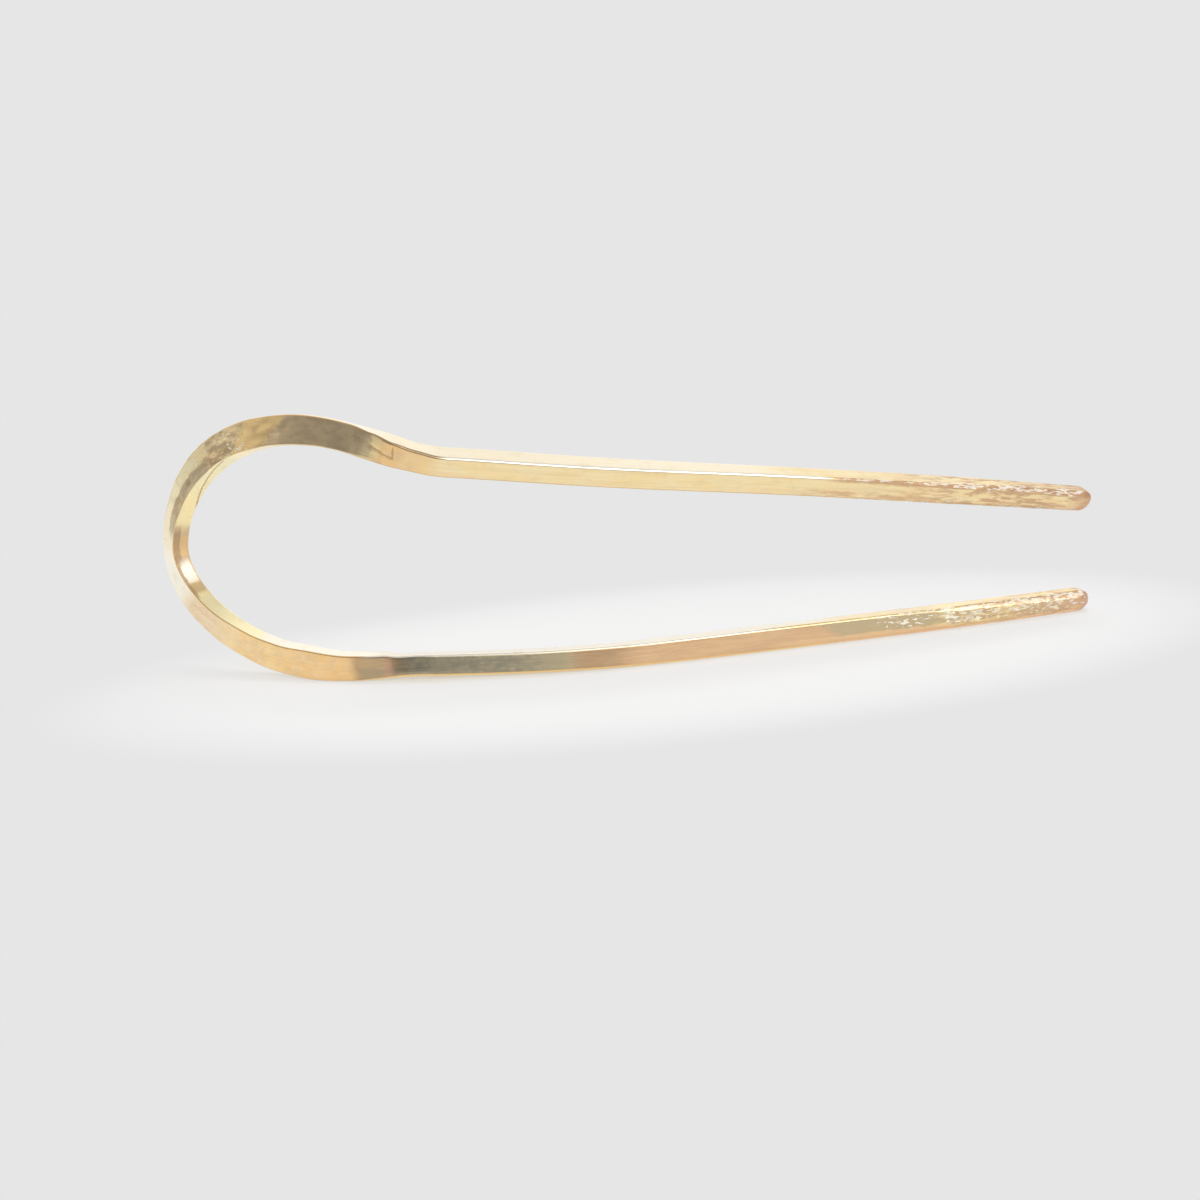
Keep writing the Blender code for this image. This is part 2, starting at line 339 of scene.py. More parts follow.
@dataclass
class Arm:
    """One arm of the wire, from the bow's end to a tip, as a closed mesh of its own."""

    name: str
    body: str
    side: Side
    prong_length: float
    tip_half_spacing: float
    prong_curl: float
    shoulder_length: float
    bow_half_width: float
    sections: tuple[Section, ...]
    flats: tuple[Flat, ...]
    marks: tuple[Dent | Groove, ...]
    fork: ForkSizes
    outline: Outline
    bow_step: float = 0.2 * MM
    prong_step: float = 0.6 * MM
    filed_step: float = 0.18 * MM
    fine_reach: float = 12.0 * MM
    nose_rings: int = 14
    smallest_nose: float = 0.06
    bow_points: int = 160
    shoulder_points: int = 80
    prong_points: int = 420
    sharp_angle: float = math.radians(50.0)

    def route(self) -> tuple[np.ndarray, np.ndarray, float]:
        """Returns the flat route's points, their distances from the bow's end, and the shoulder's.

        Returns:
            The points as rows of along and across, their distances, and the shoulder's distance.
        """
        fork = self.fork
        sign = self.side.value
        quarter_height = self.bow_half_width + sign * fork.bow_end_drop
        quarter_length = fork.bow_length - self.shoulder_length
        angle = np.linspace(0.0, math.pi / 2.0, self.bow_points, endpoint=False)
        bow_along = -self.shoulder_length - quarter_length * np.cos(angle)
        bow_across = sign * quarter_height * np.sin(angle) - fork.bow_end_drop

        flare = self.bow_half_width - fork.shoulder_half_spacing
        easing = np.linspace(-self.shoulder_length, 0.0, self.shoulder_points, endpoint=False)
        opened = fork.shoulder_half_spacing + flare * eased(-easing / self.shoulder_length)

        taper = fork.shoulder_half_spacing - self.tip_half_spacing
        straight = np.linspace(0.0, self.prong_length, self.prong_points)
        closing = (straight / self.prong_length) ** self.prong_curl
        narrowed = fork.shoulder_half_spacing - taper * closing

        along = np.concatenate((bow_along, easing, straight))
        across = np.concatenate((bow_across, sign * opened, sign * narrowed))
        points = np.stack((along, across), -1)
        gaps = np.linalg.norm(np.diff(points, axis=0), axis=1)
        distances = np.concatenate(([0.0], np.cumsum(gaps)))
        return points, distances, float(distances[len(bow_along) + len(easing)])

    def stations(self, shoulder: float, length: float) -> tuple[np.ndarray, np.ndarray]:
        """Returns where the cross sections lie, closest where the shape changes most.

        Args:
            shoulder: The shoulder's distance from the bow's end.
            length: The tip's distance from the bow's end.

        Returns:
            The distances from the bow's end, and the shares, which fall over the nose.
        """
        nose_start = length - self.fork.nose_length
        filed_start = length - self.fork.filed_length
        stretches = (
            (shoulder + self.fine_reach, self.bow_step),
            (filed_start, self.prong_step),
            (nose_start, self.filed_step),
        )
        places = []
        start = 0.0
        for end, step in stretches:
            count = math.ceil((end - start) / step)
            places.append(np.linspace(start, end, count, endpoint=False))
            start = end
        last_angle = math.acos(self.smallest_nose)
        angles = np.linspace(0.0, last_angle, self.nose_rings)
        places.append(nose_start + self.fork.nose_length * np.sin(angles))
        run = np.concatenate(places)
        scale = np.ones(len(run))
        scale[-self.nose_rings :] = np.cos(angles)
        return run, scale

    def section_values(self, run: np.ndarray, shoulder: float, length: float) -> np.ndarray:
        """Returns the cross sections' numbers, eased from one named section to the next.

        Args:
            run: Distances from the bow's end.
            shoulder: The shoulder's distance from the bow's end.
            length: The tip's distance from the bow's end.

        Returns:
            A row of width, thickness, twist, shift and corner for each.
        """
        beyond = (run - shoulder) / (length - shoulder)
        place = np.where(run > shoulder, 1.0 + beyond, run / shoulder)
        starts = np.array([section.place for section in self.sections])
        values = np.array([section.values() for section in self.sections])
        before = np.clip(np.searchsorted(starts, place, side="left") - 1, 0, len(starts) - 2)
        share = eased((place - starts[before]) / (starts[before + 1] - starts[before]))
        return values[before] + (values[before + 1] - values[before]) * share[:, None]

    def frames(self, run: np.ndarray) -> tuple[np.ndarray, np.ndarray, np.ndarray, float, float]:
        """Returns the wire's middle, and its front and inward directions before the twist.

        Args:
            run: Distances from the bow's end.

        Returns:
            The middles, the fronts, the inward directions, and the distances of shoulder and tip.
        """
        points, distances, shoulder = self.route()
        along = np.interp(run, distances, points[:, 0])
        across = np.interp(run, distances, points[:, 1])
        heading = np.gradient(points, distances, axis=0)
        heading = np.stack([np.interp(run, distances, heading[:, axis]) for axis in range(2)], -1)
        heading /= np.linalg.norm(heading, axis=1)[:, None]

        x, y = self.fork.folded(along)
        angle = self.fork.fold_angle(along)
        nothing = np.zeros(len(run))
        middle = np.stack((x, y, across), -1)
        front = np.stack((-np.sin(angle), -np.cos(angle), nothing), -1)
        forward = np.stack((np.cos(angle), -np.sin(angle), nothing), -1)
        tangent = forward * heading[:, :1]
        tangent[:, 2] += heading[:, 1]
        inward = np.cross(tangent, front) * self.side.value
        return middle, front, inward, shoulder, float(distances[-1])

    def shoulder_point(self) -> np.ndarray:
        """Returns the middle of the standing wire at its shoulder, not yet moved into place.

        Returns:
            The point.
        """
        shoulder = self.route()[2]
        middle = self.frames(np.array([shoulder]))[0]
        return (middle @ self.fork.standing().T)[0]

    def build(self, offset: np.ndarray) -> bpy.types.Object:
        """Builds the arm's mesh, with the marks pressed in.

        Args:
            offset: The move from the fork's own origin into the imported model's frame.

        Returns:
            The arm as an object in the scene.
        """
        _, distances, shoulder = self.route()
        run, scale = self.stations(shoulder, float(distances[-1]))
        middle, front, inward, shoulder, length = self.frames(run)
        values = self.section_values(run, shoulder, length)

        fork = self.fork
        twist = np.radians(values[:, 2])[:, None]
        face = front * np.cos(twist) + inward * np.sin(twist)
        side = inward * np.cos(twist) - front * np.sin(twist)
        filed = eased(1.0 - (length - run) / fork.filed_length)
        size = fork.wire_size * scale
        edge_radius = fork.edge_radius * values[:, 4]
        radius = (edge_radius + (fork.filed_radius - edge_radius) * filed) * scale
        points, facing, around = self.outline.points(
            values[:, 0] * size / 2.0, values[:, 1] * size / 2.0, radius
        )

        for flat in self.flats:
            points = flat.press(points, run)

        runs = np.broadcast_to(run[:, None], around.shape)
        depth, marks = self.pressed(runs, around)
        depth *= scale[:, None]
        pushed = points - facing * depth[:, :, None]
        middle = middle + side * (values[:, 3] * fork.wire_size)[:, None]
        place = middle[:, None, :] + side[:, None, :] * pushed[:, :, :1]
        place = place + face[:, None, :] * pushed[:, :, 1:]
        place = place @ fork.standing().T + offset
        place[:, :, 2] = np.maximum(place[:, :, 2], 0.0)

        wire_place = np.concatenate(((runs * self.side.value)[:, :, None], points), 2)
        edge = np.minimum(np.abs(facing[:, :, 0]), np.abs(facing[:, :, 1]))[:, :, None]
        return self._mesh(place, wire_place / MM, np.concatenate((facing, edge), 2), marks)

    def pressed(self, run: np.ndarray, around: np.ndarray) -> tuple[np.ndarray, np.ndarray]:
        """Returns how deep the marks go, and how strongly each kind of mark shows.

        Args:
            run: Distances from the bow's end.
            around: Distances round the wire from the middle of the front.

        Returns:
            The depths, and a strength from 0 to 1 for each kind.
        """
        depth = np.zeros(run.shape)
        shown = np.zeros(run.shape + (len(MarkKind),))
        for mark in self.marks:
            pressed = mark.pressed(run, around)
            channel = mark.kind.value
            shown[:, :, channel] = np.maximum(shown[:, :, channel], pressed / mark.depth)
            depth = np.maximum(depth, pressed)
        return depth, shown

    def _mesh(
        self, place: np.ndarray, wire_place: np.ndarray, facing: np.ndarray, marks: np.ndarray
    ) -> bpy.types.Object:
        """Skins the cross sections as one closed mesh that keeps its places along the wire.

        Args:
            place: Each cross section's points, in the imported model's frame.
            wire_place: The same points by their place on the wire, in millimetres.
            facing: The directions that they face, and how near they are to a corner.
            marks: How strongly each kind of mark shows at them.

        Returns:
            The wire as an object in the scene.
        """
        rings, points = place.shape[:2]
        index = np.arange(rings * points).reshape(rings, points)
        ahead = np.roll(index, -1, 1)
        quads = np.stack((index[:-1], ahead[:-1], ahead[1:], index[1:]), -1).reshape(-1, 4)
        faces = quads.tolist() + [index[0][::-1].tolist(), index[-1].tolist()]
        if self.side is Side.LOWER:
            faces = [face[::-1] for face in faces]
        mesh = bpy.data.meshes.new(self.name)
        mesh.from_pydata(place.reshape(-1, 3).tolist(), [], faces)
        for name, values in (
            (PLACE_ATTRIBUTE, wire_place),
            (FACING_ATTRIBUTE, facing),
            (MARKS_ATTRIBUTE, marks),
        ):
            attribute = mesh.attributes.new(name, "FLOAT_VECTOR", "POINT")
            attribute.data.foreach_set("vector", values.reshape(-1).astype(np.float32))
        mesh.shade_smooth()
        mesh.set_sharp_from_angle(angle=self.sharp_angle)
        wire = bpy.data.objects.new(self.name, mesh)
        bpy.context.scene.collection.objects.link(wire)
        return wire


Operand = "Value | float"


@dataclass(frozen=True)
class Value:
    """A number in a shader, wrapped so that shader maths reads as an expression."""

    nodes: "NodeBook"
    socket: bpy.types.NodeSocket

    def _with(self, operation: str, first: Operand, second: Operand) -> "Value":
        """Returns the result of a Math node on two operands."""
        return self.nodes.number("ShaderNodeMath", {"operation": operation}, {0: first, 1: second})

    def __add__(self, other: Operand) -> "Value":
        """Returns self + other."""
        return self._with("ADD", self, other)

    def __radd__(self, other: Operand) -> "Value":
        """Returns other + self."""
        return self._with("ADD", other, self)

    def __sub__(self, other: Operand) -> "Value":
        """Returns self - other."""
        return self._with("SUBTRACT", self, other)

    def __rsub__(self, other: Operand) -> "Value":
        """Returns other - self."""
        return self._with("SUBTRACT", other, self)

    def __mul__(self, other: Operand) -> "Value":
        """Returns self * other."""
        return self._with("MULTIPLY", self, other)

    def __rmul__(self, other: Operand) -> "Value":
        """Returns other * self."""
        return self._with("MULTIPLY", other, self)

    def __truediv__(self, other: Operand) -> "Value":
        """Returns self / other."""
        return self._with("DIVIDE", self, other)

    def __rtruediv__(self, other: Operand) -> "Value":
        """Returns other / self."""
        return self._with("DIVIDE", other, self)

    def smooth(self, low: float, high: float) -> "Value":
        """Returns 0 below low and 1 above high, with an eased step between them.

        Args:
            low: Where the step starts.
            high: Where it ends.

        Returns:
            The step.
        """
        settings = {"interpolation_type": "SMOOTHSTEP"}
        sockets = {"Value": self, "From Min": low, "From Max": high}
        return self.nodes.number("ShaderNodeMapRange", settings, sockets)

    def within(self, start: float, end: float, fade: float) -> "Value":
        """Returns 1 between start and end, fading to 0 over a distance outside them."""
        return self.smooth(start - fade, start) * (1.0 - self.smooth(end, end + fade))


class NodeBook:
    """The nodes of one material or world, each made by one call."""

    def __init__(self, tree: bpy.types.NodeTree) -> None:
        """Keeps the tree that the calls add to, and clears it."""
        self.tree = tree
        tree.nodes.clear()

    def add(
        self,
        kind: str,
        settings: dict[str, object] | None = None,
        sockets: dict[str | int, object] | None = None,
    ) -> bpy.types.Node:
        """Adds a node.

        Args:
            kind: The node's type.
            settings: The node's own settings, such as a Math node's operation.
            sockets: The values or links of its input sockets, by name or number.

        Returns:
            The node.
        """
        node = self.tree.nodes.new(kind)
        for name, setting in (settings or {}).items():
            setattr(node, name, setting)
        for name, given in (sockets or {}).items():
            self.feed(node.inputs[name], given)
        return node

    def feed(self, socket: bpy.types.NodeSocket, given: object) -> None:
        """Links a value or an output to an input socket, or sets a plain number or colour on it.

        Args:
            socket: The input socket.
            given: A value, an output socket, a number or a colour.
        """
        given = given.socket if isinstance(given, Value) else given
        if isinstance(given, bpy.types.NodeSocket):
            self.tree.links.new(given, socket)
        else:
            socket.default_value = given

    def number(
        self, kind: str, settings: dict[str, object] | None, sockets: dict[str | int, object]
    ) -> Value:
        """Adds a node and returns its first output as a value."""
        return Value(self, self.add(kind, settings, sockets).outputs[0])

    def mixed(self, share: Operand, first: object, second: object) -> bpy.types.NodeSocket:
        """Returns a colour between two colours.

        Args:
            share: How far it lies towards the second colour.
            first: The first colour, or an output.
            second: The second colour, or an output.

        Returns:
            The output socket of the colour.
        """
        settings = {"data_type": "RGBA", "blend_type": "MIX", "clamp_factor": True}
        node = self.add("ShaderNodeMix", settings)
        colour_inputs = [socket for socket in node.inputs if socket.type == "RGBA"]
        self.feed(node.inputs[0], share)
        self.feed(colour_inputs[0], first)
        self.feed(colour_inputs[1], second)
        return next(socket for socket in node.outputs if socket.type == "RGBA")

    def parts(self, vector: bpy.types.NodeSocket) -> tuple[Value, Value, Value]:
        """Returns the three numbers of a vector.

        Args:
            vector: The vector's output socket.

        Returns:
            Its X, Y and Z.
        """
        node = self.add("ShaderNodeSeparateXYZ", None, {0: vector})
        x, y, z = (Value(self, output) for output in node.outputs)
        return x, y, z

    def attribute(self, name: str) -> bpy.types.NodeSocket:
        """Returns one of the mesh's own vectors."""
        node = self.add("ShaderNodeAttribute", {"attribute_name": name})
        return node.outputs["Vector"]

    def scaled(
        self, vector: bpy.types.NodeSocket, scale: tuple[float, float, float]
    ) -> bpy.types.NodeSocket:
        """Returns a vector with each of its numbers scaled by its own amount."""
        settings = {"operation": "MULTIPLY"}
        return self.add("ShaderNodeVectorMath", settings, {0: vector, 1: scale}).outputs[0]

    def noise(self, vector: bpy.types.NodeSocket, detail: float, rough: float) -> Value:
        """Returns smooth noise from 0 to 1 over a vector."""
        sockets = {"Vector": vector, "Scale": 1.0, "Detail": detail, "Roughness": rough}
        return self.number("ShaderNodeTexNoise", None, sockets)


class Tone(Enum):
    """The colours that brass takes as it is drawn, heated, handled and filed, and the colours that
    paint highlights, glints and dark reflections into it.
    """

    PALE_BRASS = (0.90, 0.75, 0.44, 1.0)
    CREAM_BRASS = (0.92, 0.81, 0.58, 1.0)
    PAINTED_SHEEN_BRASS = (0.94, 0.88, 0.74, 1.0)
    ORANGE_BRASS = (0.92, 0.65, 0.29, 1.0)
    AMBER_BRASS = (0.86, 0.56, 0.25, 1.0)
    GOLDEN_BRASS = (0.99, 0.78, 0.40, 1.0)
    STRAW_BRASS = (1.00, 0.90, 0.56, 1.0)
    COPPER_BLOOM = (0.88, 0.60, 0.34, 1.0)
    ROSE_BLOOM = (0.88, 0.66, 0.50, 1.0)
    OLIVE_TARNISH_AND_DARK_REFLECTION = (0.32, 0.285, 0.205, 1.0)
    UMBER_TARNISH_AND_DARK_REFLECTION = (0.66, 0.50, 0.32, 1.0)
    KHAKI_TARNISH_AND_DARK_REFLECTION = (0.53, 0.44, 0.27, 1.0)
    BROWN_TARNISH_AND_DARK_REFLECTION = (0.44, 0.30, 0.17, 1.0)
    SCALED_COPPER = (0.60, 0.385, 0.225, 1.0)
    ROSE_TARNISH = (0.62, 0.34, 0.23, 1.0)
    PAINTED_HIGHLIGHT_WHITE = (1.00, 0.96, 0.87, 1.0)
    PAINTED_GLINT_CREAM = (1.00, 0.93, 0.76, 1.0)
    GROOVE_DARK = (0.40, 0.25, 0.11, 1.0)


class Face(Enum):
    """The wire's faces that a bloom can lie on."""

    FRONT = "front"
    INNER = "inner"
    OUTER = "outer"
    RIDGE = "upper front edge"
    FOOT = "lower front edge"


class Pattern(Enum):
    """How a bloom breaks up."""

    EVEN = "even"
    PATCHY = "patchy"
    STREAKY = "streaky"
    CLOUDY = "cloudy"
    FLECKED = "flecked"
    SPECKLED = "speckled"


@dataclass(frozen=True)
class Bloom:
    """A colour over one stretch of the wire, in millimetres from the bow's end.

    Distances on the lower arm are negative. Across is the band of the face that the bloom covers,
    and the slant says how far its ends move along the wire for each millimetre across the face.
    Scale and soot also roughen the brass, and a matte film scatters light as paint does.
    Some blooms are painted light: highlights, sheen on upward faces, and dark reflections.
    """

    start: float
    end: float
    fade: float
    tone: Tone
    share: float = 1.0
    pattern: Pattern = Pattern.EVEN
    across: Span | None = None
    slant: float = 0.0
    roughened: float = 0.0
    matte: float = 0.0


BLOOMS = {
    Face.FRONT: (
        Bloom(-150.0, -63.0, 4.0, Tone.SCALED_COPPER),
        Bloom(-118.0, -74.0, 6.0, Tone.COPPER_BLOOM, 0.35),
        Bloom(-118.0, -70.0, 6.0, Tone.COPPER_BLOOM, 0.3, Pattern.STREAKY),
        Bloom(-67.5, -62.0, 4.0, Tone.BROWN_TARNISH_AND_DARK_REFLECTION, 0.6),
        Bloom(-122.0, -103.5, 2.5, Tone.KHAKI_TARNISH_AND_DARK_REFLECTION, 0.85, across=(-0.5, 2.0), slant=1.5),
        Bloom(-127.0, -98.0, 5.0, Tone.COPPER_BLOOM, 0.5, across=(-2.0, -0.7)),
        Bloom(-144.0, -121.0, 3.0, Tone.KHAKI_TARNISH_AND_DARK_REFLECTION, 0.3, across=(-0.9, 1.3)),
        Bloom(-146.0, -121.0, 3.0, Tone.GOLDEN_BRASS, 0.7, Pattern.STREAKY, (-0.9, 1.3)),
        Bloom(-150.0, -136.0, 4.0, Tone.UMBER_TARNISH_AND_DARK_REFLECTION, 0.5),
        Bloom(-150.0, -141.0, 2.5, Tone.ROSE_TARNISH, 0.3),
        # The olive and khaki over the lower prong's front are partly tarnish and partly a painted
        # dark reflection.
        Bloom(-61.5, -56.0, 3.0, Tone.KHAKI_TARNISH_AND_DARK_REFLECTION, 0.85),
        Bloom(-61.0, -54.0, 3.0, Tone.OLIVE_TARNISH_AND_DARK_REFLECTION, 0.3),
        Bloom(-55.0, -46.0, 8.0, Tone.OLIVE_TARNISH_AND_DARK_REFLECTION),
        Bloom(-50.0, -39.0, 0.7, Tone.OLIVE_TARNISH_AND_DARK_REFLECTION),
        Bloom(-58.0, -40.0, 4.0, Tone.KHAKI_TARNISH_AND_DARK_REFLECTION, 0.3, Pattern.PATCHY),
        Bloom(-33.1, -13.5, 3.0, Tone.ORANGE_BRASS, 0.9, slant=0.18),
        Bloom(-33.1, -25.0, 4.0, Tone.AMBER_BRASS, 0.85),
        Bloom(-20.0, -14.5, 2.0, Tone.AMBER_BRASS, 0.35),
        Bloom(-32.0, -15.0, 4.0, Tone.COPPER_BLOOM, 0.35, Pattern.STREAKY),
        Bloom(-30.0, -12.0, 3.0, Tone.CREAM_BRASS, 0.25, Pattern.CLOUDY),
        Bloom(-33.0, -14.0, 3.0, Tone.UMBER_TARNISH_AND_DARK_REFLECTION, 0.28, Pattern.PATCHY),
        Bloom(-38.9, -34.2, 1.8, Tone.BROWN_TARNISH_AND_DARK_REFLECTION, 0.78, slant=0.18),
        Bloom(-38.9, -34.4, 0.9, Tone.OLIVE_TARNISH_AND_DARK_REFLECTION, 0.4, across=(-2.0, -0.2), slant=0.18),
        Bloom(-38.5, -37.6, 0.6, Tone.ROSE_TARNISH, 0.45),
        Bloom(-16.0, -12.5, 2.0, Tone.CREAM_BRASS, 0.35),
        Bloom(-12.5, -8.5, 2.5, Tone.CREAM_BRASS, 0.3),
        Bloom(-12.5, -8.5, 2.0, Tone.ROSE_BLOOM, 0.35),
        Bloom(-14.0, -7.5, 2.5, Tone.UMBER_TARNISH_AND_DARK_REFLECTION, 0.2),
        Bloom(-12.5, -9.5, 1.0, Tone.ROSE_TARNISH, 0.25, Pattern.PATCHY),
        # Near-white at the bow's end: a painted highlight.
        Bloom(-6.5, -0.5, 3.0, Tone.PAINTED_SHEEN_BRASS),
        Bloom(-0.5, 6.0, 2.0, Tone.CREAM_BRASS, 0.8),
        # The dark band on the inner half of the upper bow's front is partly tarnish and partly a
        # painted dark reflection.
        Bloom(2.0, 13.5, 1.5, Tone.KHAKI_TARNISH_AND_DARK_REFLECTION, 0.95, across=(0.4, 2.5)),
        Bloom(2.0, 13.5, 1.5, Tone.BROWN_TARNISH_AND_DARK_REFLECTION, 0.6, Pattern.PATCHY, (0.4, 2.5)),
        Bloom(8.0, 13.5, 2.0, Tone.OLIVE_TARNISH_AND_DARK_REFLECTION, 0.35, across=(0.4, 2.5)),
        Bloom(6.0, 21.0, 2.0, Tone.BROWN_TARNISH_AND_DARK_REFLECTION, 0.5, Pattern.PATCHY),
        Bloom(9.0, 20.0, 2.0, Tone.UMBER_TARNISH_AND_DARK_REFLECTION, 0.5, Pattern.STREAKY),
        Bloom(6.0, 12.0, 2.0, Tone.STRAW_BRASS, 0.85, across=(-2.0, -0.1), matte=0.3),
        Bloom(12.0, 15.5, 1.5, Tone.STRAW_BRASS, 0.95, Pattern.CLOUDY, (-2.0, 0.2), matte=0.4),
        Bloom(13.0, 19.5, 1.5, Tone.GOLDEN_BRASS, 0.7, Pattern.PATCHY, (-2.0, 0.4), matte=0.2),
        Bloom(14.6, 18.8, 1.0, Tone.BROWN_TARNISH_AND_DARK_REFLECTION, 0.9, Pattern.CLOUDY, slant=-0.5),
        Bloom(12.0, 20.0, 1.5, Tone.BROWN_TARNISH_AND_DARK_REFLECTION, 0.7, Pattern.PATCHY, (0.2, 2.5)),
        Bloom(18.2, 21.0, 0.6, Tone.BROWN_TARNISH_AND_DARK_REFLECTION, 0.45, across=(0.2, 1.5)),
        Bloom(17.0, 20.0, 1.2, Tone.OLIVE_TARNISH_AND_DARK_REFLECTION, 0.3, Pattern.CLOUDY, slant=-0.5),
        Bloom(20.2, 24.9, 0.8, Tone.ORANGE_BRASS, 0.95, slant=-0.93, matte=0.33),
        Bloom(20.2, 24.9, 0.8, Tone.BROWN_TARNISH_AND_DARK_REFLECTION, 0.25, Pattern.PATCHY, slant=-0.93),
        Bloom(25.1, 38.3, 0.3, Tone.AMBER_BRASS, 0.2, slant=-0.93),
        Bloom(25.1, 38.3, 0.3, Tone.ROSE_BLOOM, 0.25, slant=-0.93),
        Bloom(25.1, 38.3, 0.3, Tone.BROWN_TARNISH_AND_DARK_REFLECTION, 0.22, Pattern.PATCHY, slant=-0.93),
        Bloom(25.1, 38.3, 0.3, Tone.UMBER_TARNISH_AND_DARK_REFLECTION, 0.2, Pattern.STREAKY, slant=-0.93),
        Bloom(32.6, 34.2, 0.8, Tone.OLIVE_TARNISH_AND_DARK_REFLECTION, 0.25, Pattern.CLOUDY, slant=0.5),
        Bloom(36.0, 38.2, 0.4, Tone.OLIVE_TARNISH_AND_DARK_REFLECTION, 0.2, slant=0.3),
        Bloom(38.3, 39.4, 0.3, Tone.GOLDEN_BRASS, 0.9, slant=0.3, matte=0.3),
        Bloom(39.6, 41.5, 1.0, Tone.AMBER_BRASS, 0.9),
        Bloom(41.5, 45.0, 2.5, Tone.AMBER_BRASS, 0.6),
        Bloom(39.6, 43.2, 1.5, Tone.UMBER_TARNISH_AND_DARK_REFLECTION, 0.55, Pattern.CLOUDY),
        Bloom(44.0, 104.0, 8.0, Tone.COPPER_BLOOM, 0.35, Pattern.STREAKY, (0.6, 2.0)),
        Bloom(112.0, 150.0, 12.0, Tone.COPPER_BLOOM, 0.5, Pattern.STREAKY),
        Bloom(106.0, 150.0, 5.0, Tone.SCALED_COPPER, 0.75, across=(-1.7, -1.1), roughened=0.12),
        Bloom(118.0, 150.0, 8.0, Tone.SCALED_COPPER, 0.6, Pattern.STREAKY, (-1.7, -0.7)),
        Bloom(104.0, 150.0, 8.0, Tone.SCALED_COPPER, 0.7, Pattern.STREAKY, (0.6, 2.0)),
    ),
    Face.INNER: (
        Bloom(-150.0, -106.0, 10.0, Tone.GOLDEN_BRASS, 0.9),
        Bloom(-150.0, -116.0, 8.0, Tone.UMBER_TARNISH_AND_DARK_REFLECTION, 0.4, Pattern.STREAKY),
        # Near-white along the lower prong's inner face, which faces up: painted sheen, toned down by
        # the khaki below it.
        Bloom(-100.0, -21.0, 5.0, Tone.PAINTED_SHEEN_BRASS, 0.9),
        Bloom(-118.0, -38.0, 3.0, Tone.KHAKI_TARNISH_AND_DARK_REFLECTION, 0.3),
        Bloom(-19.0, -9.2, 1.5, Tone.STRAW_BRASS, 0.8),
        Bloom(-64.0, -36.0, 4.0, Tone.AMBER_BRASS, 0.8, across=(-2.0, -1.1)),
        # A painted highlight on the bow's inner face; the brown and amber bands beside it and the
        # brown band below it are painted shade that gives it its oval shape.
        Bloom(-5.9, -2.8, 1.4, Tone.PAINTED_HIGHLIGHT_WHITE, roughened=0.2),
        Bloom(-8.6, -2.0, 1.2, Tone.BROWN_TARNISH_AND_DARK_REFLECTION, 0.85, across=(0.85, 2.0)),
        Bloom(-9.0, -1.5, 1.4, Tone.AMBER_BRASS, 0.85, across=(-2.0, -1.05)),
        Bloom(-8.3, -7.1, 0.7, Tone.BROWN_TARNISH_AND_DARK_REFLECTION, 0.5),
        Bloom(-9.0, 2.0, 2.0, Tone.GOLDEN_BRASS, 0.1, roughened=0.15),
        Bloom(2.5, 19.0, 2.5, Tone.STRAW_BRASS, 0.75),
        # A painted dark reflection just above that highlight.
        Bloom(-1.7, 1.0, 2.6, Tone.UMBER_TARNISH_AND_DARK_REFLECTION, roughened=0.12),
        Bloom(-1.8, 0.8, 0.9, Tone.AMBER_BRASS, 0.5),
        Bloom(-2.0, 1.6, 1.4, Tone.BROWN_TARNISH_AND_DARK_REFLECTION, 0.75, across=(0.3, 2.0)),
        Bloom(3.0, 9.0, 2.0, Tone.UMBER_TARNISH_AND_DARK_REFLECTION, 0.12, roughened=0.22),
        Bloom(10.0, 17.0, 2.0, Tone.STRAW_BRASS, 0.6, matte=0.2),
    ),
    Face.OUTER: (
        # Near-white along the upper prong's outer face, which faces up: painted sheen.
        Bloom(36.0, 88.0, 12.0, Tone.PAINTED_SHEEN_BRASS, 0.65),
        Bloom(138.0, 150.0, 8.0, Tone.SCALED_COPPER, 0.4),
    ),
    Face.RIDGE: (
        Bloom(-37.0, 37.0, 2.0, Tone.AMBER_BRASS, 0.9),
        Bloom(18.0, 38.0, 3.0, Tone.AMBER_BRASS, 0.8),
        Bloom(37.0, 46.5, 2.0, Tone.BROWN_TARNISH_AND_DARK_REFLECTION, 0.9),
        # The near-white bands along the prongs' upper front edges are painted highlights.
        Bloom(49.0, 101.0, 3.0, Tone.PAINTED_HIGHLIGHT_WHITE, 0.9),
        Bloom(-94.0, -36.5, 3.0, Tone.PAINTED_HIGHLIGHT_WHITE, 0.9),
        Bloom(-126.0, -94.0, 3.0, Tone.GOLDEN_BRASS, 0.9),
        Bloom(-126.0, -92.0, 3.0, Tone.UMBER_TARNISH_AND_DARK_REFLECTION, 0.35),
        Bloom(-150.0, -126.0, 4.0, Tone.SCALED_COPPER, 0.6, roughened=0.2),
        Bloom(105.0, 150.0, 3.0, Tone.SCALED_COPPER, 0.92, roughened=0.28),
    ),
    Face.FOOT: (
        Bloom(-37.0, 37.0, 2.0, Tone.UMBER_TARNISH_AND_DARK_REFLECTION, 0.5),
        Bloom(-100.0, -35.0, 2.0, Tone.ORANGE_BRASS, 0.9),
        Bloom(-150.0, -104.0, 4.0, Tone.COPPER_BLOOM, 0.9, roughened=0.1),
        Bloom(40.0, 150.0, 6.0, Tone.SCALED_COPPER, 0.6),
    ),
}
